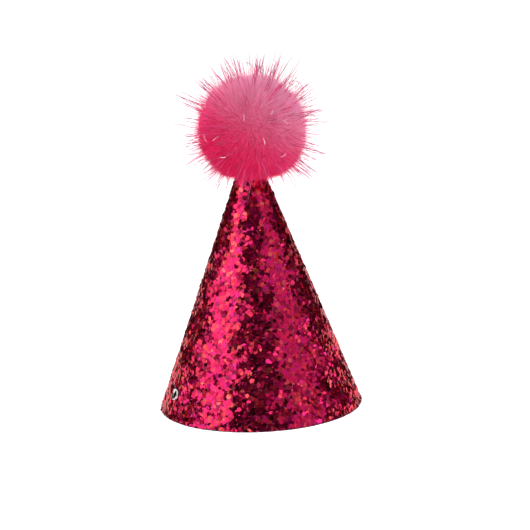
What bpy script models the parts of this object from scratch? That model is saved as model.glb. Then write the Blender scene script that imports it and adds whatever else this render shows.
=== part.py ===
"""New Year party hat: a rolled card cone covered in glitter cloth, with a fur pom-pom tied on its tip.

Metres, +Z up, rim on the ground plane, the hat's axis on Z. The wearer's front is -Y and the glued
seam is at the back, +Y. Turning angles are counted from the front, positive towards +X.
"""

import math

import bmesh
import bpy
from mathutils import Matrix, Vector

# Driving dimensions of the cone
RIM_RADIUS = 0.0494  # outer face of the glitter cloth at the rim plane
APEX_HEIGHT = 0.1334  # where that face would come to a point
TIP_HEIGHT = 0.123  # the cone is cut off here, leaving the hole for the tie
CARD_THICKNESS = 0.0004
CLOTH_THICKNESS = 0.0005
TAPE_THICKNESS = 0.0001
CLOTH_RIM_HEIGHT = 0.0003  # the cloth stops just short of the card's edge
GAP = 0.0003  # left between pieces that touch

# The rolled seam, in degrees round the cone
STEP = 2.5
CARD_LAP = 15.0
CLOTH_LAP = 12.5
CLOTH_SETBACK = 2.5
RAMP = 35.0
TAPE_MARGIN = 2.5
TAPE_LOW = 0.004
TAPE_HIGH = 0.112

# Eyelets for a chin elastic, either side of the rim
EYELET_ANGLES = {"left": -66.0, "right": 114.0}
EYELET_HEIGHT = 0.0120
EYELET_BORE = 0.0016
EYELET_BARREL = 0.0020
EYELET_FLANGE = 0.0030
EYELET_DOME = 0.0006
EYELET_CLENCH = 0.0012  # the tube's length past the card, through the washer
EYELET_WASHER = 0.0005
EYELET_HOLE = EYELET_BARREL + GAP
EYELET_STAND_OFF = 0.00035
EYELET_TURNS = 24
CUTTER_LENGTH = 0.008

# The tie through the tip
WASHER_HEIGHT = 0.1176
WASHER_THICKNESS = 0.0008
WASHER_HOLE = 0.0012
PIVOT_HEIGHT = WASHER_HEIGHT + WASHER_THICKNESS / 2.0
TIE_RADIUS = 0.0006
TIE_BEAD = 0.00036
TIE_LOW = 0.1166
TIE_HIGH = 0.1256
KNOT_SCALE = 0.0008
KNOT_CORD = 0.0004
KNOT_HEIGHT = 0.1150

# The pom-pom
POM_HEIGHT = 0.1395
POM_RADIUS = 0.0275
CAVITY_RADIUS = 0.0128
FILLING_RADIUS = 0.0124
MOUTH_RADIUS = 0.0048
MOUTH_HEIGHT = 0.1255
RECESS_RADIUS = 0.0123
DRAWSTRING_RADIUS = 0.0041
DRAWSTRING_CORD = 0.0004
DRAWSTRING_HEIGHT = 0.1263

SLOPE = RIM_RADIUS / APEX_HEIGHT
LEAN = math.atan(SLOPE)
CLOTH_INSIDE = RIM_RADIUS - CLOTH_THICKNESS
CARD_OUTSIDE = CLOTH_INSIDE - GAP
CARD_INSIDE = CARD_OUTSIDE - CARD_THICKNESS
WALL = CLOTH_THICKNESS + GAP + CARD_THICKNESS
LAP_LIFT = CARD_THICKNESS + GAP + TAPE_THICKNESS + GAP
SMOOTH_ANGLE = math.radians(40.0)


# ---- scene and small helpers ----

def clear_scene():
    for found in list(bpy.data.objects):
        bpy.data.objects.remove(found, do_unlink=True)


def finish(name, colour, roughness, metallic=0.0):
    """A plain Principled material."""
    material = bpy.data.materials.new(name)
    material.use_nodes = True
    shader = material.node_tree.nodes["Principled BSDF"]
    shader.inputs["Base Color"].default_value = (*colour, 1.0)
    shader.inputs["Roughness"].default_value = roughness
    shader.inputs["Metallic"].default_value = metallic
    return material


def add_object(name, data, material):
    made = bpy.data.objects.new(name, data)
    bpy.context.scene.collection.objects.link(made)
    data.materials.append(material)
    return made


def mesh_object(name, bm, material):
    """Finish a bmesh as a smooth-shaded object with its faces pointing out."""
    bmesh.ops.recalc_face_normals(bm, faces=bm.faces)
    mesh = bpy.data.meshes.new(name)
    bm.to_mesh(mesh)
    bm.free()
    mesh.shade_smooth()
    mesh.set_sharp_from_angle(angle=SMOOTH_ANGLE)
    return add_object(name, mesh, material)


def turned(name, outline, turns, material):
    """Spin a closed outline of (radius, height) points round Z."""
    bm = bmesh.new()
    corners = [bm.verts.new((radius, 0.0, height)) for radius, height in outline]
    sides = [bm.edges.new((a, b)) for a, b in zip(corners, corners[1:])]
    if outline[0][0] > 0.0:
        sides.append(bm.edges.new((corners[-1], corners[0])))
    bmesh.ops.spin(
        bm, geom=corners + sides, cent=(0, 0, 0), axis=(0, 0, 1),
        angle=math.tau, steps=turns, use_merge=True,
    )
    bmesh.ops.remove_doubles(bm, verts=bm.verts, dist=1e-6)
    return mesh_object(name, bm, material)


def arc(radius, height, start, end, steps):
    """Points on a circle about (0, height), angles in degrees up from straight down."""
    angles = [math.radians(start + (end - start) * i / steps) for i in range(steps + 1)]
    return [(radius * math.sin(a), height - radius * math.cos(a)) for a in angles]


def direction(angle):
    """Level unit vector at a turning angle in degrees from the front."""
    turn = math.radians(angle)
    return Vector((math.sin(turn), -math.cos(turn), 0.0))


def pom_pivot():
    """An empty on the hat's axis, where the pom-pom leans and turns on its tie."""
    made = bpy.data.objects.new("pom_pivot", None)
    made.location = (0.0, 0.0, PIVOT_HEIGHT)
    bpy.context.scene.collection.objects.link(made)
    return made


def about_pivot(outline):
    """An outline's heights, counted from the pivot instead of the rim."""
    return [(radius, height - PIVOT_HEIGHT) for radius, height in outline]


def on_axis(outline):
    """An outline whose two ends are put exactly on the axis."""
    return [(0.0, outline[0][1])] + outline[1:-1] + [(0.0, outline[-1][1])]


# ---- rolled walls ----

def lift(angle):
    """How far a rolled layer has climbed to pass over its own start."""
    full = 180.0 - CARD_LAP / 2.0
    part = min(max((angle - full + RAMP) / RAMP, 0.0), 1.0)
    return LAP_LIFT * part * part * (3.0 - 2.0 * part)


def rolled_wall(name, start, end, inside, thickness, low, high, material):
    """A sheet rolled into a cone between two turning angles, as one closed shell."""
    bm = bmesh.new()
    count = round((end - start) / STEP)
    columns = []
    for i in range(count + 1):
        angle = start + STEP * i
        near = inside + lift(angle)
        far = near + thickness
        ring = []
        for radius, height in ((near, low), (far, low), (far, high), (near, high)):
            point = direction(angle) * (radius - SLOPE * height)
            ring.append(bm.verts.new((point.x, point.y, height)))
        columns.append(ring)
    for here, there in zip(columns, columns[1:]):
        for side in range(4):
            after = (side + 1) % 4
            bm.faces.new((here[side], here[after], there[after], there[side]))
    bm.faces.new(columns[0])
    bm.faces.new(list(reversed(columns[-1])))
    return mesh_object(name, bm, material)


def eyelet_frame(angle):
    """Where an eyelet sits on the cloth, with its own Z along the outward normal."""
    level = direction(angle)
    place = level * (RIM_RADIUS - SLOPE * EYELET_HEIGHT)
    normal = level * math.cos(LEAN) + Vector((0.0, 0.0, math.sin(LEAN)))
    turn = normal.to_track_quat("Z", "Y").to_matrix().to_4x4()
    return Matrix.Translation((place.x, place.y, EYELET_HEIGHT)) @ turn


def eyelet_cutter(side, angle, material):
    bm = bmesh.new()
    bmesh.ops.create_cone(
        bm, cap_ends=True, segments=EYELET_TURNS,
        radius1=EYELET_HOLE, radius2=EYELET_HOLE, depth=CUTTER_LENGTH,
    )
    cutter = mesh_object("cutter_" + side, bm, material)
    cutter.matrix_world = eyelet_frame(angle)
    cutter.hide_render = True
    cutter.display_type = "WIRE"
    return cutter


def pierce(wall, cutters):
    for cutter in cutters:
        cut = wall.modifiers.new(cutter.name, "BOOLEAN")
        cut.operation = "DIFFERENCE"
        cut.object = cutter


# ---- the cone's pieces ----

def card_cone(cutters):
    half = 180.0 + CARD_LAP / 2.0
    wall = rolled_wall(
        "card_cone", -half, half, CARD_INSIDE, CARD_THICKNESS, 0.0, TIP_HEIGHT,
        finish("white_card", (0.86, 0.83, 0.82), 0.85),
    )
    pierce(wall, cutters)


def glitter_cover(cutters):
    start = -(180.0 - CARD_LAP / 2.0) + CLOTH_SETBACK
    wall = rolled_wall(
        "glitter_cover", start, start + 360.0 + CLOTH_LAP, CLOTH_INSIDE, CLOTH_THICKNESS,
        CLOTH_RIM_HEIGHT, TIP_HEIGHT,
        finish("crimson_glitter_cloth", (0.62, 0.01, 0.12), 0.35, 0.6),
    )
    pierce(wall, cutters)


def seam_tape():
    half = CARD_LAP / 2.0 - TAPE_MARGIN
    bm = bmesh.new()
    inside = CARD_OUTSIDE + GAP
    rows = []
    for angle in (180.0 - half, 180.0, 180.0 + half):
        for radius, height in (
            (inside, TAPE_LOW), (inside + TAPE_THICKNESS, TAPE_LOW),
            (inside + TAPE_THICKNESS, TAPE_HIGH), (inside, TAPE_HIGH),
        ):
            point = direction(angle) * (radius - SLOPE * height)
            rows.append(bm.verts.new((point.x, point.y, height)))
    for base in (0, 4):
        for side in range(4):
            after = (side + 1) % 4
            bm.faces.new([rows[base + k] for k in (side, after, 4 + after, 4 + side)])
    bm.faces.new(rows[:4])
    bm.faces.new(rows[8:])
    mesh_object("seam_tape", bm, finish("clear_tape", (0.8, 0.78, 0.7), 0.4))


def eyelet(side, angle, material):
    """A flanged metal tube pushed in from outside, its flange domed over the cloth."""
    under = EYELET_STAND_OFF
    foot = -WALL - EYELET_CLENCH
    outline = [
        (EYELET_BORE, foot),
        (EYELET_BARREL, foot),
        (EYELET_BARREL, under),
        (EYELET_FLANGE, under),
        (EYELET_FLANGE * 0.97, under + EYELET_DOME * 0.55),
        ((EYELET_FLANGE + EYELET_BARREL) / 2.0, under + EYELET_DOME),
        (EYELET_BARREL, under + EYELET_DOME * 0.8),
        (EYELET_BORE, under),
    ]
    turned("eyelet_" + side, outline, EYELET_TURNS, material).matrix_world = eyelet_frame(angle)


def eyelet_washer(side, angle, material):
    """The ring that the eyelet's tube is clenched over, inside the cone."""
    top = -WALL - EYELET_STAND_OFF
    low = top - EYELET_WASHER
    outline = [(EYELET_HOLE, top), (EYELET_FLANGE, top), (EYELET_FLANGE, low), (EYELET_HOLE, low)]
    turned("eyelet_washer_" + side, outline, EYELET_TURNS, material).matrix_world = eyelet_frame(angle)


def tip_washer():
    """A disc that wedges under the tip and stops the tie from pulling through."""
    top = WASHER_HEIGHT + WASHER_THICKNESS
    edge = CARD_INSIDE - SLOPE * top - GAP
    outline = [(WASHER_HOLE, WASHER_HEIGHT), (edge, WASHER_HEIGHT), (edge, top), (WASHER_HOLE, top)]
    turned("tip_washer", outline, 32, finish("grey_fibre_board", (0.35, 0.33, 0.31), 0.7))


def tie_knot(material):
    """An overhand knot under the washer, as a closed three-lobed cord."""
    curve = bpy.data.curves.new("tie_knot", "CURVE")
    curve.dimensions = "3D"
    curve.bevel_depth = KNOT_CORD
    curve.bevel_resolution = 1
    count = 42
    spline = curve.splines.new("POLY")
    spline.points.add(count - 1)
    for i, point in enumerate(spline.points):
        t = math.tau * i / count
        place = Vector((
            math.sin(t) + 2.0 * math.sin(2.0 * t),
            math.cos(t) - 2.0 * math.cos(2.0 * t),
            -math.sin(3.0 * t),
        )) * KNOT_SCALE
        point.co = (place.x, place.y, place.z + KNOT_HEIGHT, 1.0)
    spline.use_cyclic_u = True
    add_object("tie_knot", curve, material)


# ---- the pom-pom's pieces ----

def tie_cord(pivot, material):
    """The cord from under the washer, up through the tip, to the drawstring."""
    outline = [
        (0.0, TIE_LOW), (TIE_BEAD, TIE_LOW), (TIE_RADIUS, TIE_LOW + TIE_BEAD),
        (TIE_RADIUS, TIE_HIGH - TIE_BEAD), (TIE_BEAD, TIE_HIGH), (0.0, TIE_HIGH),
    ]
    turned("tie_cord", about_pivot(outline), 12, material).parent = pivot


def drawstring(pivot, material):
    """The gathering thread in the pelt's mouth: a ring with one strand across it."""
    rise = DRAWSTRING_HEIGHT - PIVOT_HEIGHT
    ring = [
        (DRAWSTRING_RADIUS + DRAWSTRING_CORD * math.cos(a), rise + DRAWSTRING_CORD * math.sin(a))
        for a in (math.tau * i / 8 for i in range(8))
    ]
    made = turned("drawstring", ring, 32, material)
    strand = bmesh.new()
    bmesh.ops.create_cone(
        strand, cap_ends=True, segments=8, radius1=DRAWSTRING_CORD * 0.9,
        radius2=DRAWSTRING_CORD * 0.9, depth=DRAWSTRING_RADIUS * 2.0,
        matrix=Matrix.Translation((0, 0, rise)) @ Matrix.Rotation(math.pi / 2.0, 4, "Y"),
    )
    across = mesh_object("strand_across", strand, material)
    across.hide_render = True
    across.display_type = "WIRE"
    join = made.modifiers.new("strand_across", "BOOLEAN")
    join.operation = "UNION"
    join.object = across
    made.parent = pivot
    across.parent = pivot


def pom_pelt(pivot):
    """The fur with its backing cloth, gathered into a ball, hollow, with a mouth that clears the tip."""
    foot = math.degrees(math.asin(RECESS_RADIUS / POM_RADIUS))
    neck = math.degrees(math.asin(MOUTH_RADIUS / CAVITY_RADIUS))
    outline = arc(POM_RADIUS, POM_HEIGHT, 180.0, foot, 18)
    outline.append((MOUTH_RADIUS, MOUTH_HEIGHT))
    outline += arc(CAVITY_RADIUS, POM_HEIGHT, neck, 180.0, 9)
    fur = finish("pink_fur", (0.72, 0.03, 0.2), 0.9)
    turned("pom_pelt", about_pivot(on_axis(outline)), 40, fur).parent = pivot


def pom_filling(pivot):
    outline = about_pivot(on_axis(arc(FILLING_RADIUS, POM_HEIGHT, 0.0, 180.0, 12)))
    fibre = finish("white_fibre_fill", (0.9, 0.9, 0.88), 0.95)
    turned("pom_filling", outline, 24, fibre).parent = pivot


def build():
    clear_scene()
    silver = finish("silver_eyelet_metal", (0.8, 0.8, 0.8), 0.25, 1.0)
    cord = finish("white_cotton_cord", (0.85, 0.83, 0.8), 0.9)
    cutters = [eyelet_cutter(side, angle, silver) for side, angle in EYELET_ANGLES.items()]
    card_cone(cutters)
    glitter_cover(cutters)
    seam_tape()
    for side, angle in EYELET_ANGLES.items():
        eyelet(side, angle, silver)
        eyelet_washer(side, angle, silver)
    tip_washer()
    tie_knot(cord)
    pivot = pom_pivot()
    tie_cord(pivot, cord)
    drawstring(pivot, cord)
    pom_pelt(pivot)
    pom_filling(pivot)


build()
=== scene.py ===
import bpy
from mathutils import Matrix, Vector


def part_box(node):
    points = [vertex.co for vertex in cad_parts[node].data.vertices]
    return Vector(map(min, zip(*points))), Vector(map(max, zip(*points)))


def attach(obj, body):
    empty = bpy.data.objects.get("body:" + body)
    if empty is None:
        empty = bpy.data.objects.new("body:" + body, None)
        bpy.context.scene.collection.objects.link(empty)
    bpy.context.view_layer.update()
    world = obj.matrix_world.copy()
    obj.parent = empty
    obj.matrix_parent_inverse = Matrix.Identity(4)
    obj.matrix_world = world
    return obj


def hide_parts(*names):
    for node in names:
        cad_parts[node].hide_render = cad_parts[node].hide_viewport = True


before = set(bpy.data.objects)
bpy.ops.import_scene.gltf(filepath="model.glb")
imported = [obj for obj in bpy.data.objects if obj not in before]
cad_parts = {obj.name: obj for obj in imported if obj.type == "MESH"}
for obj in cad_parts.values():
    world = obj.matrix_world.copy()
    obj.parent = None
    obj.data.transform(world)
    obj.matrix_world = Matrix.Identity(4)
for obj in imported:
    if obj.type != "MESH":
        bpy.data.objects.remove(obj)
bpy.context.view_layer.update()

import math

import bmesh
import bpy
import numpy as np
from mathutils import Matrix, Vector

MM = 0.001

# ---- places, from the frame ----

cover_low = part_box("glitter_cover")[0]
pelt_low, pelt_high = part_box("pom_pelt")
RIM_RADIUS = -cover_low.y
SLOPE = 0.3703  # how fast the cone narrows with height
LEAN = math.atan(SLOPE)
PELT_RADIUS = (pelt_high.x - pelt_low.x) / 2
PELT_CENTRE = Vector((0.0, 0.0, pelt_high.z - PELT_RADIUS))
POM_CENTRE = PELT_CENTRE + Vector((1.6 * MM, 0.0, -2.4 * MM))  # where the pile looks centred
EYELETS = {
    side: (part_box("eyelet_" + side)[0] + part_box("eyelet_" + side)[1]) / 2
    for side in ("left", "right")
}
PIECE_MAP = "OFBake"  # the map that each piece's finish reads its tone and place along from

# ---- sizes of what repeats ----

FLAKE_RADIUS = 1.25 * MM  # from its middle to a corner
FLAKE_SPACING = 1.12 * MM
CHIP_RADIUS = 0.60 * MM
CHIP_SPACING = 1.45 * MM
EYELET_CLEAR = 3.3 * MM  # no flake's middle lies nearer to an eyelet's than this
TONES = 64  # colour steps in a piece map

BALL_RADIUS = 22.6 * MM
LUMP_HEIGHT = 0.018  # of the ball's radius
UNDERFUR_COUNT = 66000
UNDERFUR_PIECES = 6
PALE_PILE_COUNT = 12000
TUFT_COUNT = 620
GUARD_HAIR_COUNT = 560
FINE_HAIR_COUNT = 320
CURL_COUNT = 40
HIGH_CURL_COUNT = 32  # of the curls, those high on one side
CURL_ROOT = 23.5 * MM  # from the ball's centre
CURL_STEPS = 13
STRAIGHT_STEPS = 4
CURL_THICKNESS = 0.105 * MM
GLINTS = [(23, 24), (38, 13), (36, -20), (62, 2), (66, -10), (-8, 24), (-36, -20), (12, -4)]
BACK_GLINT_COUNT = 18
GLINT_HEIGHT = 27.3 * MM  # from the ball's centre
GLINT_SAG = 0.9 * MM
GLINT_HALF_STEPS = 3
GLINT_THICKNESS = 0.145 * MM
NECK_ANGLE = 25.0  # no fur grows nearer to straight down than this
LONG_NECK_ANGLE = 36.0  # nor any long hair nearer than this
PAINTED_LIGHT_SIDE = (0.49, -0.10, 0.86)  # the side of the pom-pom where the pile is painted palest, a painted highlight and sheen; the far side is painted darker, as shade


# ---- node trees ----

class Wire:
    """A node's output. Arithmetic on it adds Math nodes to its tree."""

    def __init__(self, tree, socket):
        self.tree = tree
        self.socket = socket

    def __add__(self, other):
        return self.tree.maths("ADD", self, other)

    __radd__ = __add__

    def __sub__(self, other):
        return self.tree.maths("SUBTRACT", self, other)

    def __rsub__(self, other):
        return self.tree.maths("SUBTRACT", other, self)

    def __mul__(self, other):
        return self.tree.maths("MULTIPLY", self, other)

    __rmul__ = __mul__

    def __truediv__(self, other):
        return self.tree.maths("DIVIDE", self, other)

    def __rtruediv__(self, other):
        return self.tree.maths("DIVIDE", other, self)

    def __pow__(self, other):
        return self.tree.maths("POWER", self, other)

    def __gt__(self, other):
        return self.tree.maths("GREATER_THAN", self, other)

    def __lt__(self, other):
        return self.tree.maths("LESS_THAN", self, other)


class Tree:
    """A node tree under construction."""

    def __init__(self, nodes, links):
        self.nodes = nodes
        self.links = links

    def put(self, socket, value):
        if isinstance(value, Wire):
            self.links.new(value.socket, socket)
        elif value is not None:
            socket.default_value = value

    def node(self, kind, settings=None, sockets=None, out=0):
        """Any node: its settings first, then the values or links of its sockets."""
        made = self.nodes.new(kind)
        for name, value in (settings or {}).items():
            if name == "stops":
                set_stops(made.color_ramp, value)
            else:
                setattr(made, name, value)
        for name, value in (sockets or {}).items():
            self.put(made.inputs[name], value)
        return Wire(self, made.outputs[out])

    def maths(self, operation, first, second=None):
        return self.node("ShaderNodeMath", {"operation": operation}, {0: first, 1: second})

    def vector(self, operation, first, second=None, scale=None, out=0):
        sockets = {0: first} if second is None else {0: first, 1: second}
        if scale is not None:
            sockets["Scale"] = scale
        return self.node("ShaderNodeVectorMath", {"operation": operation}, sockets, out)

    def limit(self, value, low=0.0, high=1.0):
        return self.node("ShaderNodeClamp", {}, {"Value": value, "Min": low, "Max": high})

    def ranged(self, value, a, b, c, d):
        """Takes a..b to c..d, smoothly and held at the ends."""
        return self.node(
            "ShaderNodeMapRange", {"interpolation_type": "SMOOTHSTEP"},
            {0: value, 1: a, 2: b, 3: c, 4: d},
        )

    def mix(self, share, first, second, blend="MIX"):
        """Two colours, the second one by its share."""
        return self.node(
            "ShaderNodeMix", {"data_type": "RGBA", "blend_type": blend},
            {0: share, 6: first, 7: second}, 2,
        )

    def ramp(self, value, stops):
        return self.node("ShaderNodeValToRGB", {"stops": stops}, {0: value})

    def split(self, vector, axis):
        return self.node("ShaderNodeSeparateXYZ", {}, {0: vector}, axis)


def set_stops(ramp, stops):
    while len(ramp.elements) < len(stops):
        ramp.elements.new(1.0)
    for element, (place, colour) in zip(ramp.elements, stops):
        element.position = place
        element.color = (*colour, 1.0)


class Finish(Tree):
    """A Principled material and its tree."""

    def __init__(self, name, **plain):
        self.material = bpy.data.materials.new(name)
        self.material.use_nodes = True
        tree = self.material.node_tree
        super().__init__(tree.nodes, tree.links)
        self.shader = tree.nodes["Principled BSDF"]
        for socket, value in plain.items():
            self.shader.inputs[socket.replace("_", " ")].default_value = value

    def where(self):
        """Places on the piece, in metres."""
        return self.node("ShaderNodeTexCoord", {}, {}, 3)

    def along(self):
        """The piece's own map: its tone across, and how far towards its tip along."""
        return self.node("ShaderNodeUVMap", {"uv_map": PIECE_MAP})

    def noise(self, vector, scale, detail, roughness=0.5):
        sockets = {"Vector": vector, "Scale": scale, "Detail": detail, "Roughness": roughness}
        return self.node("ShaderNodeTexNoise", {}, sockets)

    def cells(self, vector, scale, out=0):
        return self.node(
            "ShaderNodeTexVoronoi", {"feature": "F1"}, {"Vector": vector, "Scale": scale}, out
        )

    def stretched(self, vector, scale):
        return self.node("ShaderNodeMapping", {}, {"Vector": vector, "Scale": scale})

    def set(self, **sockets):
        for name, value in sockets.items():
            self.put(self.shader.inputs[name.replace("_", " ")], value)

    def bump(self, height, distance, strength):
        self.set(Normal=self.node(
            "ShaderNodeBump", {}, {"Height": height, "Distance": distance, "Strength": strength}
        ))


class Grower(Tree):
    """A Geometry Nodes tree with named inputs, run once on a mesh and turned into a plain mesh."""

    def __init__(self, name, inputs):
        self.group = bpy.data.node_groups.new(name, "GeometryNodeTree")
        super().__init__(self.group.nodes, self.group.links)
        face = self.group.interface
        face.new_socket("Geometry", in_out="INPUT", socket_type="NodeSocketGeometry")
        face.new_socket("Geometry", in_out="OUTPUT", socket_type="NodeSocketGeometry")
        self.keys = {}
        for title, kind in inputs.items():
            made = face.new_socket(title, in_out="INPUT", socket_type="NodeSocket" + kind)
            self.keys[title] = made.identifier
        self.entry = self.nodes.new("NodeGroupInput")
        self.exit = self.nodes.new("NodeGroupOutput")

    def given(self, title):
        return Wire(self, self.entry.outputs[title])

    def random(self, low, high, seed, kind="FLOAT"):
        first, out = {"FLOAT_VECTOR": (0, 0), "FLOAT": (2, 1)}[kind]
        return self.node(
            "FunctionNodeRandomValue", {"data_type": kind},
            {first: low, first + 1: high, "Seed": seed}, out,
        )

    def stored(self, geometry, name, value, kind="FLOAT", domain="INSTANCE"):
        return self.node(
            "GeometryNodeStoreNamedAttribute", {"data_type": kind, "domain": domain},
            {"Geometry": geometry, "Name": name, "Value": value},
        )

    def read(self, name, kind="FLOAT"):
        return self.node("GeometryNodeInputNamedAttribute", {"data_type": kind}, {"Name": name})

    def finish(self, instances, edit):
        """Ends the tree: real meshes, their last edits, and the material."""
        mesh = self.node("GeometryNodeRealizeInstances", {}, {"Geometry": instances})
        mesh = edit(mesh)
        mesh = self.node(
            "GeometryNodeSetMaterial", {}, {"Geometry": mesh, "Material": self.given("Material")}
        )
        self.links.new(mesh.socket, self.exit.inputs["Geometry"])

    def grow(self, name, bed, values):
        """Runs the tree on a bed mesh, and gives the result as a piece of that name."""
        holder = bpy.data.objects.new(name + "_bed", bed)
        bpy.context.scene.collection.objects.link(holder)
        grown = holder.modifiers.new(self.group.name, "NODES")
        grown.node_group = self.group
        for title, value in values.items():
            grown[self.keys[title]] = value
        ready = holder.evaluated_get(bpy.context.evaluated_depsgraph_get())
        mesh = bpy.data.meshes.new_from_object(ready)
        bpy.data.objects.remove(holder)
        mesh.name = name
        return add_piece(name, mesh)


# ---- mesh helpers ----

def add_piece(name, mesh, material=None):
    made = bpy.data.objects.new(name, mesh)
    bpy.context.scene.collection.objects.link(made)
    if material is not None:
        mesh.materials.append(material)
    return made


def hidden_copy(name, bm):
    """A mesh object that only serves as a shape to repeat."""
    mesh = bpy.data.meshes.new(name)
    bm.to_mesh(mesh)
    bm.free()
    made = bpy.data.objects.new(name, mesh)
    bpy.context.scene.collection.objects.link(made)
    made.hide_render = True
    return made


def outer_skin():
    """The outward faces of the glitter cloth, as the bed that flakes are glued on."""
    bm = bmesh.new()
    bm.from_mesh(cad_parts["glitter_cover"].data)
    bmesh.ops.remove_doubles(bm, verts=bm.verts, dist=1e-6)
    unwanted = []
    for face in bm.faces:
        middle = face.calc_center_median()
        level = Vector((middle.x, middle.y, 0.0)).normalized()
        squarely_out = level * math.cos(LEAN) + Vector((0.0, 0.0, math.sin(LEAN)))
        if face.normal.dot(squarely_out) < 0.9:
            unwanted.append(face)
    bmesh.ops.delete(bm, geom=unwanted, context="FACES")
    mesh = bpy.data.meshes.new("outer_skin")
    bm.to_mesh(mesh)
    bm.free()
    return mesh


def ball_bed(radius, neck):
    """A round bed for fur, open below within the neck's angle in degrees of straight down."""
    bm = bmesh.new()
    bmesh.ops.create_icosphere(bm, subdivisions=5, radius=radius)
    lowest = -math.cos(math.radians(neck)) * radius
    bmesh.ops.delete(
        bm, geom=[f for f in bm.faces if f.calc_center_median().z < lowest], context="FACES"
    )
    bmesh.ops.translate(bm, verts=bm.verts, vec=POM_CENTRE)
    mesh = bpy.data.meshes.new("ball_bed")
    bm.to_mesh(mesh)
    bm.free()
    return mesh


def flake_shape(name, corners, depth):
    """A flat cut flake of radius 1, closed below by a shallow point, with its piece map."""
    bm = bmesh.new()
    uv = bm.loops.layers.uv.new(PIECE_MAP)
    ring = []
    for i in range(corners):
        turn = math.tau * i / corners
        ring.append(bm.verts.new((math.cos(turn), math.sin(turn), 0.0)))
    foot = bm.verts.new((0.0, 0.0, -depth))
    bm.faces.new(ring)
    for a, b in zip(ring, ring[1:] + ring[:1]):
        bm.faces.new((b, a, foot))
    for face in bm.faces:
        for loop in face.loops:
            spot = loop.vert.co
            loop[uv].uv = (0.5 + 0.4 * spot.x, 0.5 + 0.4 * spot.y)
    bmesh.ops.triangulate(bm, faces=bm.faces)
    return hidden_copy(name, bm)


def hair_shape(name, segments, bend, taper):
    """A bent three-sided hair, 1 long and 1 in radius, closed at both ends, with its map."""
    bm = bmesh.new()
    uv = bm.loops.layers.uv.new(PIECE_MAP)
    rings = []
    for level in range(segments):
        height = level / segments
        thick = (1.0 - height) ** taper
        rings.append([
            bm.verts.new((
                thick * math.cos(math.tau * side / 3) + bend * height ** 2,
                thick * math.sin(math.tau * side / 3),
                height,
            ))
            for side in range(3)
        ])
    tip = bm.verts.new((bend, 0.0, 1.0))
    bm.faces.new(list(reversed(rings[0])))
    quads = []
    for low, high in zip(rings, rings[1:]):
        for side in range(3):
            after = (side + 1) % 3
            quads.append((bm.faces.new((low[side], low[after], high[after], high[side])), side))
    for side in range(3):
        quads.append((bm.faces.new((rings[-1][side], rings[-1][(side + 1) % 3], tip)), side))
    for face, side in quads:
        for place, loop in enumerate(face.loops):
            around = side + (1 if place in (1, 2) and len(face.loops) == 4 or place == 1 else 0)
            if loop.vert is tip:
                around = side + 0.5
            loop[uv].uv = (around / 3.0, loop.vert.co.z)
    return hidden_copy(name, bm)


# ---- finishes ----

def flake_finish():
    """Dyed foil flakes. Each has its own tone, from crimson through hot pink to coral."""
    foil = Finish(
        "foil_flakes", Metallic=1.0, Specular_Tint=(0.50, 0.15, 0.22, 1.0),
        Coat_Weight=0.38, Coat_Roughness=0.12,
    )
    tone = foil.split(foil.along(), 0)
    foil.set(
        Base_Color=foil.ramp(tone, [
            (0.00, (0.20, 0.0015, 0.045)),
            (0.12, (0.50, 0.002, 0.062)),
            (0.30, (0.76, 0.005, 0.095)),
            (0.50, (0.84, 0.008, 0.12)),
            (0.62, (0.66, 0.004, 0.19)),
            (0.74, (0.85, 0.01, 0.09)),
            (0.92, (0.93, 0.055, 0.075)),
            (1.00, (0.97, 0.15, 0.125)),
        ]),
        Roughness=0.14 + 0.13 * tone,
    )
    return foil.material


def glue_finish():
    """The dyed cloth and glue under the flakes, full of fine glitter dust."""
    glue = Finish("glitter_glue", Coat_Weight=0.4, Coat_Roughness=0.2)
    place = glue.where()
    grain = glue.cells(place, 1500.0, out=1)
    dust = glue.split(grain, 0)
    # Near black in a thin band at the foot of the cloth, fading out by 0.9 mm up and without metal
    # dust: a painted dark line of shade along the rim where the hat stands.
    clear_of_rim_shade = glue.ranged(glue.split(place, 2), 0.35 * MM, 0.9 * MM, 0.0, 1.0)
    glue.set(
        Base_Color=glue.mix(clear_of_rim_shade, (0.02, 0.001, 0.006, 1), glue.ramp(dust, [
            (0.0, (0.045, 0.001, 0.012)),
            (0.5, (0.16, 0.002, 0.03)),
            (0.85, (0.42, 0.006, 0.08)),
            (1.0, (0.9, 0.1, 0.2)),
        ])),
        Roughness=0.55 - 0.3 * dust,
        Metallic=0.8 * (dust > 0.55) * clear_of_rim_shade,
    )
    glue.bump(dust, 0.15 * MM, 0.7)
    return glue.material


def card_finish():
    """Uncoated white card with faint fibres and a rubbed look towards the rim."""
    card = Finish("white_card", Specular_IOR_Level=0.35)
    place = card.where()
    fibre = card.noise(card.stretched(place, (1.0, 1.0, 0.35)), 2600.0, 4.0, 0.65)
    cloud = card.noise(place, 90.0, 2.0)
    rub = card.ranged(card.split(place, 2), 0.0, 9.0 * MM, 1.0, 0.0) * cloud
    card.set(
        Base_Color=card.mix(
            rub * 0.55,
            card.mix(fibre, (0.80, 0.765, 0.745, 1), (0.90, 0.875, 0.86, 1)),
            (0.70, 0.55, 0.56, 1),
        ),
        Roughness=0.78 + 0.16 * fibre,
    )
    card.bump(fibre + 0.5 * cloud, 0.05 * MM, 0.6)
    return card.material


def eyelet_finish():
    """Pressed nickel-plated metal, faintly scratched."""
    metal = Finish("nickel_plate", Metallic=1.0)
    place = metal.where()
    scratch = metal.noise(metal.stretched(place, (1.0, 1.0, 5.0)), 1800.0, 3.0)
    dull = metal.noise(place, 500.0, 2.0)
    metal.set(
        Base_Color=metal.mix(dull, (0.58, 0.58, 0.57, 1), (0.42, 0.42, 0.42, 1)),
        Roughness=0.14 + 0.18 * scratch,
    )
    metal.bump(scratch, 0.02 * MM, 0.5)
    return metal.material


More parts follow.
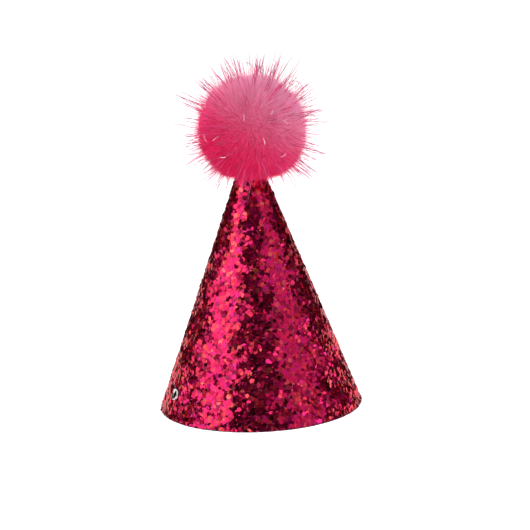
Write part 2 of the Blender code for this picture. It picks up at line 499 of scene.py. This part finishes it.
def fur_finish(name, roots, middle, tips, own_and_painted_shades, root_share):
    """Dyed hair that changes towards its tip. Each has its shade, partly its own at random and
    partly painted light and shade by where it grows, in full only at the tip.
    """
    hair = Finish(
        name, Roughness=0.55, Specular_IOR_Level=0.25, Sheen_Weight=0.12,
        Sheen_Roughness=0.4, Sheen_Tint=(1.0, 0.55, 0.75, 1.0),
    )
    spot = hair.along()
    tone = hair.split(spot, 0)
    length = hair.split(spot, 1)
    lit = hair.ramp(length, [(0.0, roots), (0.45, middle), (1.0, tips)])
    share = root_share + (1.0 - root_share) * length
    hair.set(Base_Color=hair.mix(share, lit, hair.ramp(tone, own_and_painted_shades), "MULTIPLY"))
    return hair.material


def pelt_finish():
    """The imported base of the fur, seen only between hairs."""
    pelt = Finish("packed_fur", Sheen_Weight=0.6, Sheen_Roughness=0.5,
                  Sheen_Tint=(1.0, 0.5, 0.7, 1.0), Specular_IOR_Level=0.2)
    place = pelt.where()
    fine = pelt.noise(place, 2400.0, 3.0, 0.7)
    tuft = pelt.cells(place, 420.0)
    height = pelt.split(place, 2)
    # Painted light and shade: darker crimson low on the ball, paler pink towards its top.
    painted_top_light = pelt.ranged(height, POM_CENTRE.z - 20 * MM, POM_CENTRE.z + 22 * MM, 0.0, 1.0)
    pelt.set(
        Base_Color=pelt.mix(
            fine * 0.6,
            pelt.mix(painted_top_light, (0.62, 0.008, 0.09, 1), (0.66, 0.08, 0.18, 1)),
            (0.78, 0.05, 0.17, 1),
        ),
        Roughness=0.85 + 0.1 * fine,
    )
    pelt.bump(fine - tuft, 0.5 * MM, 0.8)
    return pelt.material


def cord_finish():
    """Twisted cotton: plies that wind round a thin cord."""
    cord = Finish("twisted_cotton", Sheen_Weight=0.2)
    place = cord.where()
    turn = cord.node(
        "ShaderNodeTexWave", {"bands_direction": "DIAGONAL"},
        {"Vector": place, "Scale": 900.0, "Distortion": 1.5, "Detail": 2.0},
    )
    lint = cord.noise(place, 4000.0, 2.0)
    cord.set(
        Base_Color=cord.mix(turn * 0.6 + lint * 0.3, (0.62, 0.58, 0.54, 1), (0.90, 0.88, 0.84, 1)),
        Roughness=0.8 + 0.15 * lint,
    )
    cord.bump(turn, 0.12 * MM, 0.8)
    return cord.material


def board_finish():
    """Pressed grey fibre board."""
    board = Finish("fibre_board")
    place = board.where()
    fleck = board.noise(place, 1600.0, 5.0, 0.75)
    board.set(
        Base_Color=board.ramp(fleck, [(0.3, (0.20, 0.19, 0.17)), (0.7, (0.45, 0.43, 0.40))]),
        Roughness=0.65 + 0.3 * fleck,
    )
    board.bump(fleck, 0.08 * MM, 0.7)
    return board.material


def tape_finish():
    """Clear double-sided tape, a little yellowed and hazy."""
    tape = Finish("clear_tape", Coat_Weight=0.3)
    haze = tape.noise(tape.where(), 700.0, 2.0)
    tape.set(
        Base_Color=tape.mix(haze, (0.70, 0.67, 0.58, 1), (0.82, 0.80, 0.74, 1)),
        Roughness=0.25 + 0.3 * haze,
    )
    return tape.material


def fibre_finish():
    """Loose polyester filling."""
    fill = Finish("fibre_filling", Sheen_Weight=0.5)
    place = fill.where()
    strand = fill.noise(place, 900.0, 6.0, 0.8)
    fill.set(
        Base_Color=fill.mix(strand, (0.76, 0.75, 0.74, 1), (0.95, 0.95, 0.94, 1)),
        Roughness=0.85 + 0.1 * strand,
    )
    fill.bump(strand, 0.8 * MM, 1.0)
    return fill.material


# ---- glitter ----

FLAKE_INPUTS = {
    "Flake": "Object", "Spacing": "Float", "Density": "Float", "Radius": "Float", "Tilt": "Float",
    "Ripple": "Float", "Rise": "Float", "Edge": "Float", "Clear": "Float", "Eyelet left": "Vector",
    "Eyelet right": "Vector", "Seed": "Int", "Material": "Material",
}


def toned_map(tree, mesh):
    """Squeezes each copy's piece map into the column of its own tone."""
    spot = tree.read(PIECE_MAP, "FLOAT_VECTOR")
    tone = tree.read("tone")
    column = tree.maths("FLOOR", tree.limit(tone, 0.0, 0.999) * TONES)
    across = (column + 0.15 + 0.7 * tree.split(spot, 0)) / TONES
    flat = tree.node("ShaderNodeCombineXYZ", {}, {0: across, 1: tree.split(spot, 1)})
    mesh = tree.stored(mesh, PIECE_MAP, flat, "FLOAT2", "CORNER")
    return tree.node("GeometryNodeRemoveAttribute", {}, {"Geometry": mesh, "Name": "tone"})


def glitter_tree():
    """Scatters flakes over a bed, each tipped a little, none over an eyelet or past the rim."""
    tree = Grower("glitter", FLAKE_INPUTS)
    seed = tree.given("Seed")
    scatter = tree.node(
        "GeometryNodeDistributePointsOnFaces",
        {"distribute_method": "POISSON"},
        {
            "Mesh": tree.given("Geometry"), "Distance Min": tree.given("Spacing"),
            "Density Max": tree.given("Density"), "Density Factor": 1.0, "Seed": seed,
        },
    )
    normal = Wire(tree, scatter.socket.node.outputs["Normal"])
    facing = Wire(tree, scatter.socket.node.outputs["Rotation"])
    place = tree.node("GeometryNodeInputPosition")
    near = None
    for side in ("left", "right"):
        gap = tree.vector("DISTANCE", place, tree.given("Eyelet " + side), out=1)
        close = gap < tree.given("Clear")
        near = close if near is None else near + close
    low = tree.split(place, 2) < tree.given("Radius") * 0.35
    kept = tree.node(
        "GeometryNodeDeleteGeometry", {"domain": "POINT"},
        {"Geometry": scatter, "Selection": near + low},
    )
    rise = tree.random(0.0, 1.0, seed + 1) * tree.given("Rise")
    kept = tree.node(
        "GeometryNodeSetPosition", {},
        {"Geometry": kept, "Offset": tree.vector("SCALE", normal, scale=rise)},
    )
    lean = tree.given("Tilt")
    tip_x = (tree.random(-1.0, 1.0, seed + 2) + tree.random(-1.0, 1.0, seed + 3)) * lean
    tip_y = (tree.random(-1.0, 1.0, seed + 4) + tree.random(-1.0, 1.0, seed + 5)) * lean
    spin = tree.random(0.0, math.tau, seed + 6)
    own = tree.node("ShaderNodeCombineXYZ", {}, {0: tip_x, 1: tip_y, 2: spin})
    own = tree.node("FunctionNodeEulerToRotation", {}, {0: own})
    wave = tree.node(
        "ShaderNodeTexNoise", {}, {"Vector": place, "Scale": 95.0, "Detail": 2.0}, "Color"
    )
    wave = tree.vector("SUBTRACT", wave, (0.5, 0.5, 0.5))
    wave = tree.vector("SCALE", wave, scale=tree.given("Ripple"))
    rippled = tree.node(
        "FunctionNodeRotateRotation", {"rotation_space": "GLOBAL"},
        {0: facing, 1: tree.node("FunctionNodeEulerToRotation", {}, {0: wave})},
    )
    turned = tree.node(
        "FunctionNodeRotateRotation", {"rotation_space": "LOCAL"}, {0: rippled, 1: own}
    )
    size = tree.given("Radius") * tree.random(0.86, 1.08, seed + 7)
    flake = tree.node(
        "GeometryNodeObjectInfo", {"transform_space": "ORIGINAL"},
        {"Object": tree.given("Flake")}, "Geometry",
    )
    laid = tree.node(
        "GeometryNodeInstanceOnPoints", {},
        {
            "Points": kept, "Instance": flake, "Rotation": turned,
            "Scale": tree.node("ShaderNodeCombineXYZ", {}, {0: size, 1: size, 2: size}),
        },
    )
    laid = tree.stored(laid, "tone", tree.random(0.0, 1.0, seed + 8))

    def cut_at_rim(mesh):
        edge = tree.given("Edge")
        height = tree.split(tree.node("GeometryNodeInputPosition"), 2)
        up = tree.node("ShaderNodeCombineXYZ", {}, {2: edge - height})
        mesh = tree.node(
            "GeometryNodeSetPosition", {},
            {"Geometry": mesh, "Selection": height < edge, "Offset": up},
        )
        return toned_map(tree, mesh)

    tree.finish(laid, cut_at_rim)
    return tree


def glitter_flakes():
    """Two coats: small chips in the glue, and the large cut flakes over them."""
    tree = glitter_tree()
    foil = flake_finish()
    bed = outer_skin()
    shared = {
        "Edge": 0.55 * MM, "Clear": EYELET_CLEAR, "Eyelet left": EYELETS["left"],
        "Eyelet right": EYELETS["right"], "Material": foil,
    }
    hexagon = flake_shape("cut_hexagon", 6, 0.34)
    chip = flake_shape("cut_chip", 4, 0.45)
    coats = {
        "glitter_flakes": {
            "Flake": hexagon, "Spacing": FLAKE_SPACING, "Density": 4.0e6, "Radius": FLAKE_RADIUS,
            "Tilt": 0.118, "Ripple": 0.75, "Rise": 0.42 * MM, "Seed": 11,
        },
        "glitter_chips": {
            "Flake": chip, "Spacing": CHIP_SPACING, "Density": 4.0e6, "Radius": CHIP_RADIUS,
            "Tilt": 0.20, "Ripple": 0.75, "Rise": 0.20 * MM, "Seed": 37,
        },
    }
    for name, values in coats.items():
        piece = tree.grow(name, bed, {**shared, **values})
        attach(piece, "hat")
    for shape in (hexagon, chip):
        bpy.data.objects.remove(shape)


# ---- fur ----

FUR_INPUTS = {
    "Hair": "Object", "Density": "Float", "Thickness": "Float", "Short": "Float", "Long": "Float",
    "Loose": "Float", "Tuft": "Float", "Tuft size": "Float", "Sway": "Float", "Reach": "Float",
    "Tone": "Float", "Tone lift": "Float", "Tone spread": "Float", "Centre": "Vector",
    "Seed": "Int", "Material": "Material",
}


def fur_tree():
    """Hairs grown from a bed, in loose tufts, and pressed short where the cone's tip comes."""
    tree = Grower("fur", FUR_INPUTS)
    seed = tree.given("Seed")
    scatter = tree.node(
        "GeometryNodeDistributePointsOnFaces", {"distribute_method": "RANDOM"},
        {"Mesh": tree.given("Geometry"), "Density": tree.given("Density"), "Seed": seed},
    )
    normal = Wire(tree, scatter.socket.node.outputs["Normal"])
    place = tree.node("GeometryNodeInputPosition")
    centre = tree.given("Centre")
    cell = tree.node(
        "ShaderNodeTexVoronoi", {"feature": "F1"},
        {"Vector": place, "Scale": 1.0 / tree.given("Tuft size")}, "Position",
    )
    tuft_way = tree.vector("NORMALIZE", tree.vector("SUBTRACT", cell, centre))
    chance = {"noise_dimensions": "4D"}
    sway = tree.node("ShaderNodeTexWhiteNoise", chance, {"Vector": cell, "W": 1.0}, "Color")
    sway = tree.vector("SUBTRACT", sway, (0.5, 0.5, 0.5))
    tuft_way = tree.vector("ADD", tuft_way, tree.vector("SCALE", sway, scale=tree.given("Sway")))
    point = tree.vector("ADD", centre, tree.vector("SCALE", tuft_way, scale=tree.given("Reach")))
    drawn = tree.vector("NORMALIZE", tree.vector("SUBTRACT", point, place))
    loose = tree.random((-1.0, -1.0, -1.0), (1.0, 1.0, 1.0), seed + 1, "FLOAT_VECTOR")
    aim = tree.vector("ADD", normal, tree.vector("SCALE", drawn, scale=tree.given("Tuft")))
    aim = tree.vector("ADD", aim, tree.vector("SCALE", loose, scale=tree.given("Loose")))
    facing = tree.node("FunctionNodeAlignRotationToVector", {"axis": "Z"}, {"Vector": aim})
    spin = tree.node(
        "ShaderNodeCombineXYZ", {}, {2: tree.random(0.0, math.tau, seed + 2)}
    )
    turned = tree.node(
        "FunctionNodeRotateRotation", {"rotation_space": "LOCAL"},
        {0: facing, 1: tree.node("FunctionNodeEulerToRotation", {}, {0: spin})},
    )
    thick = tree.given("Thickness") * tree.random(0.75, 1.2, seed + 3)
    own_share = tree.random(0.0, 1.0, seed + 4) ** 1.3
    tuft_share = tree.node("ShaderNodeTexWhiteNoise", chance, {"Vector": cell, "W": 2.0}, "Value")
    share = 0.45 * own_share + 0.55 * tuft_share ** 1.2
    offset = tree.vector("SUBTRACT", place, centre)
    pressed = tree.ranged(tree.split(offset, 2) / BALL_RADIUS, -0.94, -0.78, 0.55, 1.0)
    length = tree.given("Short") + share * (tree.given("Long") - tree.given("Short"))
    length = length * pressed
    hair = tree.node(
        "GeometryNodeObjectInfo", {"transform_space": "ORIGINAL"},
        {"Object": tree.given("Hair")}, "Geometry",
    )
    grown = tree.node(
        "GeometryNodeInstanceOnPoints", {},
        {
            "Points": scatter, "Instance": hair, "Rotation": turned,
            "Scale": tree.node("ShaderNodeCombineXYZ", {}, {0: thick, 1: thick, 2: length}),
        },
    )
    # Painted light: hairs grown towards that side get their tone lifted, paler as a painted
    # highlight and sheen, and those on the far side stay darker as painted shade.
    height = tree.vector("DOT_PRODUCT", offset, PAINTED_LIGHT_SIDE, out=1) / BALL_RADIUS
    lit = tree.ranged(height, -0.9, 0.95, 0.0, 1.0) * tree.given("Tone lift")
    tone = tree.given("Tone") + lit + tree.random(-1.0, 1.0, seed + 5) * tree.given("Tone spread")
    grown = tree.stored(grown, "tone", tree.limit(tone, 0.0, 0.999))
    tree.finish(grown, lambda mesh: toned_map(tree, mesh))
    return tree


def pom_ball():
    """The gathered ball under the hairs: lumpy, with a mouth that clears the tip."""
    recess, mouth, hollow = 10.2 * MM, 4.8 * MM, 12.8 * MM
    mouth_depth = 14.0 * MM
    outer_steps, inner_steps = 32, 12
    rise = (PELT_CENTRE - POM_CENTRE).z
    foot = math.asin(recess / BALL_RADIUS)
    neck = math.asin(mouth / hollow)
    outline = []
    for i in range(outer_steps + 1):
        angle = math.pi + (foot - math.pi) * i / outer_steps
        outline.append((BALL_RADIUS * math.sin(angle), -BALL_RADIUS * math.cos(angle)))
    outline.append((mouth, rise - mouth_depth))
    for i in range(inner_steps + 1):
        angle = neck + (math.pi - neck) * i / inner_steps
        outline.append((hollow * math.sin(angle), rise - hollow * math.cos(angle)))
    bm = bmesh.new()
    corners = [bm.verts.new((radius, 0.0, height)) for radius, height in outline]
    sides = [bm.edges.new(pair) for pair in zip(corners, corners[1:])]
    bmesh.ops.spin(
        bm, geom=corners + sides, cent=(0, 0, 0), axis=(0, 0, 1),
        angle=math.tau, steps=72, use_merge=True,
    )
    bmesh.ops.remove_doubles(bm, verts=bm.verts, dist=1e-6)
    bmesh.ops.recalc_face_normals(bm, faces=bm.faces)
    for vert in bm.verts:
        spot = vert.co.copy()
        if spot.length > 0.9 * BALL_RADIUS:
            lump = math.sin(spot.x * 700.0) * math.sin(spot.y * 650.0 + 1.0)
            lump *= math.sin(spot.z * 720.0)
            vert.co = spot * (1.0 + LUMP_HEIGHT * lump)
            vert.co.x += POM_CENTRE.x
    bmesh.ops.translate(bm, verts=bm.verts, vec=(0.0, 0.0, POM_CENTRE.z))
    mesh = bpy.data.meshes.new("pom_ball")
    bm.to_mesh(mesh)
    bm.free()
    mesh.shade_smooth()
    ball = add_piece("pom_ball", mesh, pelt_finish())
    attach(ball, "pom")
    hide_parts("pom_pelt")


def pom_fur():
    """Every coat of the pom-pom's pile, from the dense underfur to the long guard hairs."""
    tree = fur_tree()
    area = 4.0 * math.pi * BALL_RADIUS ** 2
    soft = fur_finish(
        "soft_underfur", (0.86, 0.022, 0.13), (0.80, 0.032, 0.15), (0.78, 0.070, 0.19),
        # Underfur shades: the low ones are painted shade and the high, near white pink ones
        # painted sheen, reached mostly through the lift on the lit side.
        [(0.0, (0.74, 0.085, 0.46)), (0.12, (0.88, 0.16, 0.56)), (0.23, (0.93, 0.50, 0.84)),
         (0.45, (0.99, 0.95, 1.13)), (1.0, (1.0, 7.9, 3.25))], 1.0,
    )
    stiff = fur_finish(
        "guard_hair", (0.66, 0.020, 0.12), (0.50, 0.034, 0.13), (0.36, 0.065, 0.16),
        [(0.0, (0.13, 0.45, 0.40)), (0.20, (0.32, 0.75, 0.62)), (0.40, (0.9, 0.9, 0.9)),
         (1.0, (1.1, 1.15, 1.2))], 0.2,
    )
    short_hair = hair_shape("short_hair", 2, 9.0, 0.6)
    long_hair = hair_shape("long_hair", 4, 6.0, 0.36)
    wide = ball_bed(BALL_RADIUS - 0.4 * MM, NECK_ANGLE)
    high = ball_bed(BALL_RADIUS - 0.4 * MM, LONG_NECK_ANGLE)
    kinds = {
        # The lift in each coat's tone is painted light and shade, none on the long hairs and most
        # on the underfur.
        "underfur": {
            "Hair": short_hair, "Thickness": 0.078 * MM, "Short": 3.0 * MM, "Long": 6.6 * MM,
            "Loose": 0.85, "Tuft": 0.08, "Tuft size": 3.4 * MM, "Sway": 0.1, "Reach": 31.0 * MM,
            "Tone": 0.04, "Tone lift": 0.86, "Tone spread": 0.07, "Material": soft,
            "Density": UNDERFUR_COUNT / UNDERFUR_PIECES / area, "count": UNDERFUR_PIECES,
            "bed": wide,
        },
        "pale_pile": {
            "Hair": short_hair, "Thickness": 0.050 * MM, "Short": 4.6 * MM, "Long": 8.8 * MM,
            "Loose": 0.62, "Tuft": 0.0, "Tuft size": 5.0 * MM, "Sway": 0.0, "Reach": 31.0 * MM,
            "Tone": 0.16, "Tone lift": 0.84, "Tone spread": 0.10, "Material": soft,
            "Density": PALE_PILE_COUNT / area, "count": 1, "bed": wide,
        },
        "fur_tufts": {
            "Hair": long_hair, "Thickness": 0.10 * MM, "Short": 4.5 * MM, "Long": 13.0 * MM,
            "Loose": 0.05, "Tuft": 2.6, "Tuft size": 5.0 * MM, "Sway": 0.30, "Reach": 35.0 * MM,
            "Tone": 0.05, "Tone lift": 0.78, "Tone spread": 0.08, "Material": soft,
            "Density": TUFT_COUNT / area, "count": 1, "bed": high,
        },
        "guard_hairs": {
            "Hair": long_hair, "Thickness": 0.190 * MM, "Short": 10.5 * MM, "Long": 24.0 * MM,
            "Loose": 0.13, "Tuft": 1.3, "Tuft size": 4.0 * MM, "Sway": 0.34, "Reach": 38.0 * MM,
            "Tone": 0.5, "Tone lift": 0.0, "Tone spread": 0.5, "Material": stiff,
            "Density": GUARD_HAIR_COUNT / area, "count": 1, "bed": high,
        },
        "fine_hairs": {
            "Hair": long_hair, "Thickness": 0.095 * MM, "Short": 9.0 * MM, "Long": 23.5 * MM,
            "Loose": 0.30, "Tuft": 0.0, "Tuft size": 5.0 * MM, "Sway": 0.0, "Reach": 38.0 * MM,
            "Tone": 0.55, "Tone lift": 0.0, "Tone spread": 0.45, "Material": stiff,
            "Density": FINE_HAIR_COUNT / area, "count": 1, "bed": high,
        },
    }
    seed = 100
    for kind, values in kinds.items():
        count, bed = values.pop("count"), values.pop("bed")
        for number in range(count):
            seed += 17
            name = kind if count == 1 else f"{kind}_{number + 1}"
            piece = tree.grow(name, bed, {**values, "Centre": POM_CENTRE, "Seed": seed})
            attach(piece, "pom")
            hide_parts("pom_pelt")
    for shape in (short_hair, long_hair):
        bpy.data.objects.remove(shape)
    stray_hairs(stiff)


def strands(name, paths, material):
    """Three-sided hairs along given paths of points. Each path has its radius and its tone."""
    bm = bmesh.new()
    uv = bm.loops.layers.uv.new(PIECE_MAP)
    for points, radius, tone in paths:
        column = math.floor(tone * TONES)
        rings = []
        count = len(points) - 1
        for i in range(count):
            way = (points[i + 1] - points[max(i - 1, 0)]).normalized()
            side = way.orthogonal().normalized()
            if rings:
                side = (last_side - way * last_side.dot(way)).normalized()
            last_side = side
            other = way.cross(side)
            thick = radius * (1.0 - i / count) ** 0.4
            rings.append([
                bm.verts.new(points[i] + thick * (
                    side * math.cos(math.tau * k / 3) + other * math.sin(math.tau * k / 3)
                ))
                for k in range(3)
            ])
        tip = bm.verts.new(points[-1])
        made = [(bm.faces.new(list(reversed(rings[0]))), 0, 0)]
        for i in range(count):
            for k in range(3):
                after = (k + 1) % 3
                if i + 1 < count:
                    ring = (rings[i][k], rings[i][after], rings[i + 1][after], rings[i + 1][k])
                else:
                    ring = (rings[i][k], rings[i][after], tip)
                made.append((bm.faces.new(ring), k, i))
        for face, k, i in made:
            spots = ((k, i), (k + 1, i), (k + 1, i + 1), (k, i + 1))
            for loop, (across, along) in zip(face.loops, spots):
                loop[uv].uv = ((column + 0.15 + 0.7 * across / 3) / TONES, along / count)
    mesh = bpy.data.meshes.new(name)
    bm.to_mesh(mesh)
    bm.free()
    mesh.shade_smooth()
    piece = add_piece(name, mesh, material)
    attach(piece, "pom")
    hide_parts("pom_pelt")
    return piece


def outward(azimuth, elevation):
    """The way out at these angles in degrees. Azimuth 0 is the front, positive to the right."""
    turn, rise = math.radians(azimuth), math.radians(elevation)
    return Vector((
        math.sin(turn) * math.cos(rise), -math.cos(turn) * math.cos(rise), math.sin(rise)
    ))


def stray_hairs(stiff):
    """Curled guard hairs, most of them high on one side, and short bright strands of tinsel."""
    chance = np.random.default_rng(8)
    curls = []
    for number in range(CURL_COUNT):
        high = number < HIGH_CURL_COUNT
        azimuth = chance.uniform(20, 130) if high else chance.uniform(-180, 180)
        elevation = chance.uniform(15, 85) if high else chance.uniform(-35, 80)
        way = outward(azimuth, elevation)
        side = Matrix.Rotation(chance.uniform(0, math.tau), 3, way) @ way.orthogonal().normalized()
        spot = POM_CENTRE + way * CURL_ROOT
        bend = chance.uniform(0.16, 0.46)
        step = chance.uniform(0.9, 1.5) * MM
        points = [spot]
        for i in range(CURL_STEPS):
            if i >= STRAIGHT_STEPS:
                way = (way + side * bend).normalized()
                side = (side - way * side.dot(way)).normalized()
            points.append(points[-1] + way * step)
        curls.append((points, CURL_THICKNESS, chance.uniform(0.05, 0.9)))
    strands("curled_hairs", curls, stiff)

    glints = GLINTS + [
        (chance.uniform(75, 320), chance.uniform(-40, 75)) for _ in range(BACK_GLINT_COUNT)
    ]
    paths = []
    for azimuth, elevation in glints:
        way = outward(azimuth, elevation)
        side = Matrix.Rotation(chance.uniform(0, math.tau), 3, way) @ way.orthogonal().normalized()
        half = chance.uniform(1.5, 3.2) * MM
        points = []
        for i in range(2 * GLINT_HALF_STEPS + 1):
            share = i / GLINT_HALF_STEPS - 1.0
            height = GLINT_HEIGHT + chance.uniform(-0.1, 0.1) * MM - GLINT_SAG * share ** 2
            points.append(POM_CENTRE + way * height + side * half * share)
        paths.append((points, GLINT_THICKNESS, chance.uniform(0.0, 0.99)))
    pearl = Finish("pearl_tinsel", Metallic=0.25, Coat_Weight=1.0, Coat_Roughness=0.08)
    place = pearl.where()
    sheen = pearl.noise(place, 900.0, 2.0)
    pearl.set(
        Base_Color=pearl.mix(sheen, (0.95, 0.90, 0.93, 1), (0.98, 0.72, 0.84, 1)),
        Roughness=0.12 + 0.2 * sheen,
    )
    strands("tinsel", paths, pearl.material)


# ---- pieces kept from the frame ----

def dress(names, material):
    """Gives pieces of the frame one finish, in place of any that they came with."""
    for name in names:
        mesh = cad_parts[name].data
        mesh.materials.clear()
        mesh.materials.append(material)


def dress_frame():
    dress(["card_cone"], card_finish())
    dress(["glitter_cover"], glue_finish())
    dress(
        ["eyelet_left", "eyelet_right", "eyelet_washer_left", "eyelet_washer_right"],
        eyelet_finish(),
    )
    dress(["tie_knot", "tie_cord", "drawstring"], cord_finish())
    dress(["tip_washer"], board_finish())
    dress(["seam_tape"], tape_finish())
    dress(["pom_filling"], fibre_finish())


# ---- studio ----

MID_HEIGHT = 0.085  # the height that the lights point at, and the camera nearly so
CAMERA_DISTANCE = 1.2
CAMERA_RISE = math.radians(12.25)
CAMERA_ROLL = math.radians(2.67)
CAMERA_LENS = 167.8
AIM_RIGHT = 5.6 * MM
AIM_DOWN = 14.4 * MM
WORLD_DIFFUSE = 0.38
WORLD_GLOSSY = 0.05
WORLD_SEEN = 1.05

LIGHTS = {
    "key": {
        "azimuth": -66.0, "elevation": 30.0, "distance": 0.9, "size": (0.95, 0.75),
        "watts": 2.95,
    },
    "key_heart": {
        "azimuth": -60.0, "elevation": 32.0, "distance": 0.85, "size": (0.42, 0.40),
        "watts": 0.32,
    },
    "fill": {
        "azimuth": 56.0, "elevation": 26.0, "distance": 1.0, "size": (1.05, 0.75),
        "watts": 1.45, "colour": (1.0, 0.72, 1.0),
    },
    "over": {
        "azimuth": 25.0, "elevation": 78.0, "distance": 0.9, "size": (0.8, 0.8),
        "watts": 2.2, "glossy": False,
    },
    "back_left": {
        "azimuth": -166.0, "elevation": 34.0, "distance": 1.0, "size": (0.3, 0.8),
        "watts": 0.3,
    },
    "back_right": {
        "azimuth": 166.0, "elevation": 34.0, "distance": 1.0, "size": (0.3, 0.8),
        "watts": 1.2,
    },
    "front": {
        "azimuth": 0.0, "elevation": 30.0, "distance": 1.1, "size": (0.7, 0.5),
        "watts": 12.4, "glossy": False,
    },
}


def floor():
    """A pale floor that glows by itself, outside the hat's rim only."""
    bm = bmesh.new()
    bmesh.ops.create_grid(bm, x_segments=1, y_segments=1, size=6.0)
    mesh = bpy.data.meshes.new("floor")
    bm.to_mesh(mesh)
    bm.free()
    pale = Finish(
        "pale_floor", Base_Color=(0.9, 0.9, 0.9, 1), Roughness=0.9, Specular_IOR_Level=0.1,
        Emission_Strength=0.675,
    )
    outside = pale.vector("LENGTH", pale.where(), out=1) > RIM_RADIUS
    pale.set(Emission_Color=pale.mix(outside, (0, 0, 0, 1), (1, 1, 1, 1)))
    add_piece("floor", mesh, pale.material)


def softbox(
    name, azimuth, elevation, distance, size, watts, colour=(1.0, 1.0, 1.0), glossy=True,
):
    """A flat light aimed at the hat's middle. One that isn't glossy leaves no reflection."""
    middle = Vector((0.0, 0.0, MID_HEIGHT))
    way = outward(azimuth, elevation)
    data = bpy.data.lights.new(name, "AREA")
    data.shape = "RECTANGLE"
    data.size, data.size_y = size
    data.energy = watts
    data.color = colour
    made = bpy.data.objects.new(name, data)
    bpy.context.scene.collection.objects.link(made)
    made.location = middle + way * distance
    made.rotation_euler = way.to_track_quat("Z", "Y").to_euler()
    made.visible_camera = False
    made.visible_glossy = glossy


def lights():
    for name, values in LIGHTS.items():
        softbox(name, **values)


def surroundings():
    """White to look at, softer as a light, and dim in reflections, as in a tented studio."""
    world = bpy.data.worlds.new("studio")
    bpy.context.scene.world = world
    world.use_nodes = True
    tree = Tree(world.node_tree.nodes, world.node_tree.links)
    back = world.node_tree.nodes["Background"]
    path = world.node_tree.nodes.new("ShaderNodeLightPath")
    seen = Wire(tree, path.outputs["Is Camera Ray"])
    shiny = Wire(tree, path.outputs["Is Glossy Ray"])
    lit = WORLD_DIFFUSE - (WORLD_DIFFUSE - WORLD_GLOSSY) * shiny
    tree.put(back.inputs["Strength"], seen * WORLD_SEEN + (1.0 - seen) * lit)
    back.inputs["Color"].default_value = (1.0, 1.0, 1.0, 1.0)


def camera():
    """Looks slightly down on the hat's front, rolled a little so that the hat leans left."""
    data = bpy.data.cameras.new("camera")
    data.lens = CAMERA_LENS
    data.sensor_width = 36.0
    data.clip_start = 0.05
    made = bpy.data.objects.new("camera", data)
    bpy.context.scene.collection.objects.link(made)
    middle = Vector((0.0, 0.0, MID_HEIGHT))
    view = Vector((0.0, math.cos(CAMERA_RISE), -math.sin(CAMERA_RISE)))
    level = Vector((1.0, 0.0, 0.0))
    upright = Vector((0.0, math.sin(CAMERA_RISE), math.cos(CAMERA_RISE)))
    right = level * math.cos(CAMERA_ROLL) - upright * math.sin(CAMERA_ROLL)
    up = upright * math.cos(CAMERA_ROLL) + level * math.sin(CAMERA_ROLL)
    place = middle - view * CAMERA_DISTANCE
    aim = (middle + right * AIM_RIGHT - up * AIM_DOWN - place).normalized()
    right = aim.cross(up).normalized()
    up = right.cross(aim)
    turn = Matrix((right, up, -aim)).transposed().to_4x4()
    made.matrix_world = Matrix.Translation(place) @ turn
    bpy.context.scene.camera = made
    bpy.context.scene.view_settings.view_transform = "Standard"


camera()
floor()
lights()
surroundings()
dress_frame()
glitter_flakes()
pom_ball()
pom_fur()
